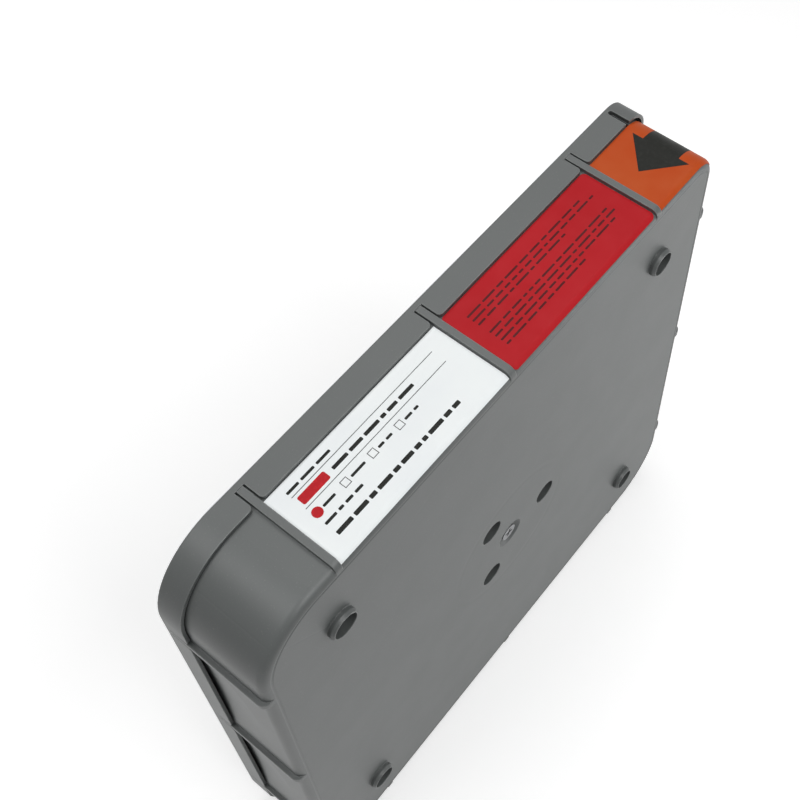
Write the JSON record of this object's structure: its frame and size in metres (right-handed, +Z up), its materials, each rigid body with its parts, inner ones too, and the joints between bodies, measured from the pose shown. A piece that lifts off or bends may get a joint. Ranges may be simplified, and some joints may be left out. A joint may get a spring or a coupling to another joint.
{
  "type": "doctor blade dispenser case",
  "caption": "Grey moulded plastic dispenser case with ribbed edges and a notched lid, tight at one corner where a coiled steel doctor blade strip is drawn out.",
  "frame": {"origin": "middle of the case's footprint on the floor, as it stands on its lower edge", "axes": "+Z up, front face with the tubes toward -Y, lid toward +Y, blade outlet at the upper +X corner"},
  "size_m": [0.31, 0.0578, 0.31],
  "materials": {
    "case_plastic": "satin moulded",
    "screw_steel": "dull zinc",
    "blade_steel": "polished strip",
    "white_film": "label film",
    "red_film": "label film",
    "orange_film": "label film"
  },
  "bodies": {
    "root": {"front_case": "case_plastic", "rear_lid": "case_plastic", "centre_screw": "screw_steel", "blade_coil": "blade_steel", "white_label": "white_film", "red_label": "red_film", "orange_label": "orange_film"}
  },
  "joints": []
}
